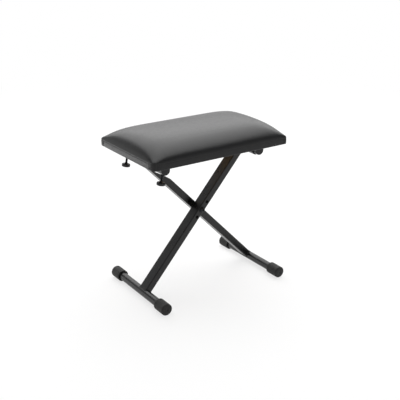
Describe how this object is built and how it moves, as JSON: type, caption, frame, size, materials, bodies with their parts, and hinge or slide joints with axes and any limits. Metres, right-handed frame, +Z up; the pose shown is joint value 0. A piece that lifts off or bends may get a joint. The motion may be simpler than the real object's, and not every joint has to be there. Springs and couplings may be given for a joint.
{
  "type": "folding keyboard bench",
  "caption": "Folding bench with a padded seat on crossed tube legs that turn on a pivot bolt, rubber foot caps and knob bolts under the seat.",
  "frame": {"origin": "on the floor under the middle of the bench's overall box", "axes": "+X along the seat towards the end that it hinges at, +Y across the seat to the back, +Z up"},
  "size_m": [0.4084, 0.266, 0.4387],
  "materials": {
    "vinyl": "black vinyl with a fine grain and a soft sheen",
    "plywood": "bare plywood",
    "black_paint": "semi-gloss black powder coat",
    "rubber": "matte black rubber",
    "black_plastic": "matte black moulded plastic",
    "black_zinc": "black plated steel"
  },
  "bodies": {
    "front_leg": {"front_leg_tube": "black_paint", "front_foot_tube": "black_paint", "front_foot_cap_near": "rubber", "front_foot_cap_far": "rubber", "front_top_tube": "black_paint", "front_top_plug_near": "black_plastic", "front_top_plug_far": "black_plastic", "pivot_bolt": "black_zinc", "pivot_washer_near": "black_zinc", "pivot_washer_far": "black_zinc", "pivot_spacer": "black_plastic", "pivot_nut": "black_zinc"},
    "rear_leg": {"rear_leg_tube": "black_paint", "rear_foot_tube": "black_paint", "rear_foot_cap_near": "rubber", "rear_foot_cap_far": "rubber", "rear_top_tube": "black_paint", "rear_top_plug_near": "black_plastic", "rear_top_plug_far": "black_plastic"},
    "seat": {"seat_cushion": "vinyl", "cover_hem": "vinyl", "seat_board": "plywood", "hinge_strap_near": "black_paint", "hinge_strap_far": "black_paint", "hinge_pad_near": "black_plastic", "hinge_pad_far": "black_plastic", "lock_saddle_near": "black_plastic", "lock_saddle_far": "black_plastic", "lock_nut_near": "black_zinc", "lock_nut_far": "black_zinc", "strap_screw_near_left": "black_zinc", "strap_screw_near_right": "black_zinc", "strap_screw_far_left": "black_zinc", "strap_screw_far_right": "black_zinc", "saddle_screw_near_left": "black_zinc", "saddle_screw_near_right": "black_zinc", "saddle_screw_far_left": "black_zinc", "saddle_screw_far_right": "black_zinc"},
    "near_knob_bolt": {"knob_near": "black_plastic", "knob_stud_near": "black_zinc"},
    "far_knob_bolt": {"knob_far": "black_plastic", "knob_stud_far": "black_zinc"}
  },
  "joints": [
    {"name": "leg_fold", "type": "hinge", "parent": "front_leg", "child": "rear_leg", "pos_m": [-0.00249, 0, 0.21319], "axis": [0, 1, 0], "range_deg": [0, 76]},
    {"name": "seat_swing", "type": "hinge", "parent": "front_leg", "child": "seat", "pos_m": [0.13275, 0, 0.3675], "axis": [0, 1, 0], "range_deg": [0, 131]},
    {"name": "knob_near_screw", "type": "slide", "parent": "rear_leg", "child": "near_knob_bolt", "axis": [0.1736, 0, 0.9848], "range_m": [0, 0.014]},
    {"name": "knob_far_screw", "type": "slide", "parent": "rear_leg", "child": "far_knob_bolt", "axis": [0.1736, 0, 0.9848], "range_m": [0, 0.014]}
  ],
  "couplings": [
    {"joint": "seat_swing", "follows": "leg_fold", "ratio": 1.72}
  ]
}
